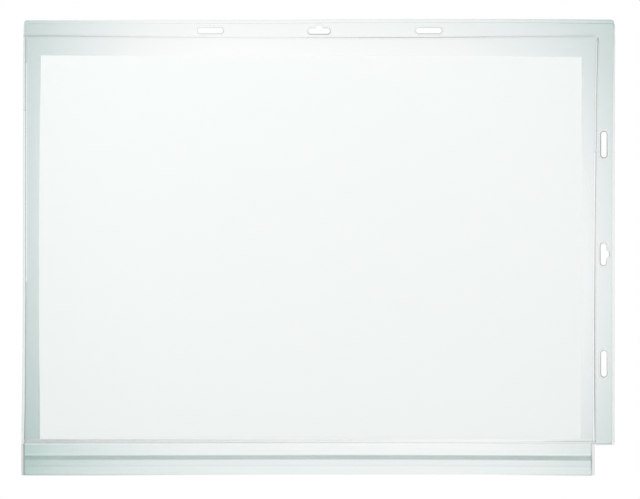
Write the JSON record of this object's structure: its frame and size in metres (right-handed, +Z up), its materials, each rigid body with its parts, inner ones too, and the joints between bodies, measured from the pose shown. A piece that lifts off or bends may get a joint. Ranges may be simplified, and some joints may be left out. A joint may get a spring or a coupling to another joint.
{
  "type": "waterproof display pocket",
  "caption": "Clear plastic hanging pocket for an A3 landscape sheet, with a slotted flange along the top and right and a press-to-close zip along the bottom.",
  "frame": {"origin": "centre of the middle slot of the top row, on the rear film's inner face", "axes": "+X to the right seen from the front, +Z up as the pocket hangs, the front faces -Y"},
  "size_m": [0.4598, 0.0027, 0.3528],
  "materials": {
    "clear_film": "clear glossy soft PVC film with a faint grey-green tint",
    "fused_film": "the same film fused solid by a hot bar",
    "zip_plastic": "clear extruded zip strip, greyer where it is thick",
    "white_paper": "smooth matt white paper"
  },
  "bodies": {
    "root": {"rear_film": "clear_film", "front_film": "clear_film", "left_seam": "fused_film", "top_weld": "fused_film", "right_weld": "fused_film", "rear_tape_weld": "fused_film", "front_tape_weld": "fused_film", "zip_end_weld_left": "fused_film", "zip_end_weld_right": "fused_film"},
    "front_lip": {"front_zip_strip": "zip_plastic"},
    "rear_lip": {"rear_zip_strip": "zip_plastic"},
    "insert": {"insert_sheet": "white_paper"}
  },
  "joints": [
    {"name": "front_lip_open", "type": "hinge", "parent": "root", "child": "front_lip", "pos_m": [-0.0083, -0.00135, -0.32085], "axis": [-1, 0, 0], "range_deg": [0, 45]},
    {"name": "rear_lip_open", "type": "hinge", "parent": "root", "child": "rear_lip", "pos_m": [-0.0083, 0.00045, -0.32085], "axis": [1, 0, 0], "range_deg": [0, 45]},
    {"name": "insert_slide", "type": "slide", "parent": "root", "child": "insert", "axis": [0, 0, -1], "range_m": [0, 0.11]}
  ],
  "couplings": [
    {"joint": "front_lip_open", "follows": "insert_slide", "rad_per_m": 7.139},
    {"joint": "rear_lip_open", "follows": "insert_slide", "rad_per_m": 7.139}
  ]
}
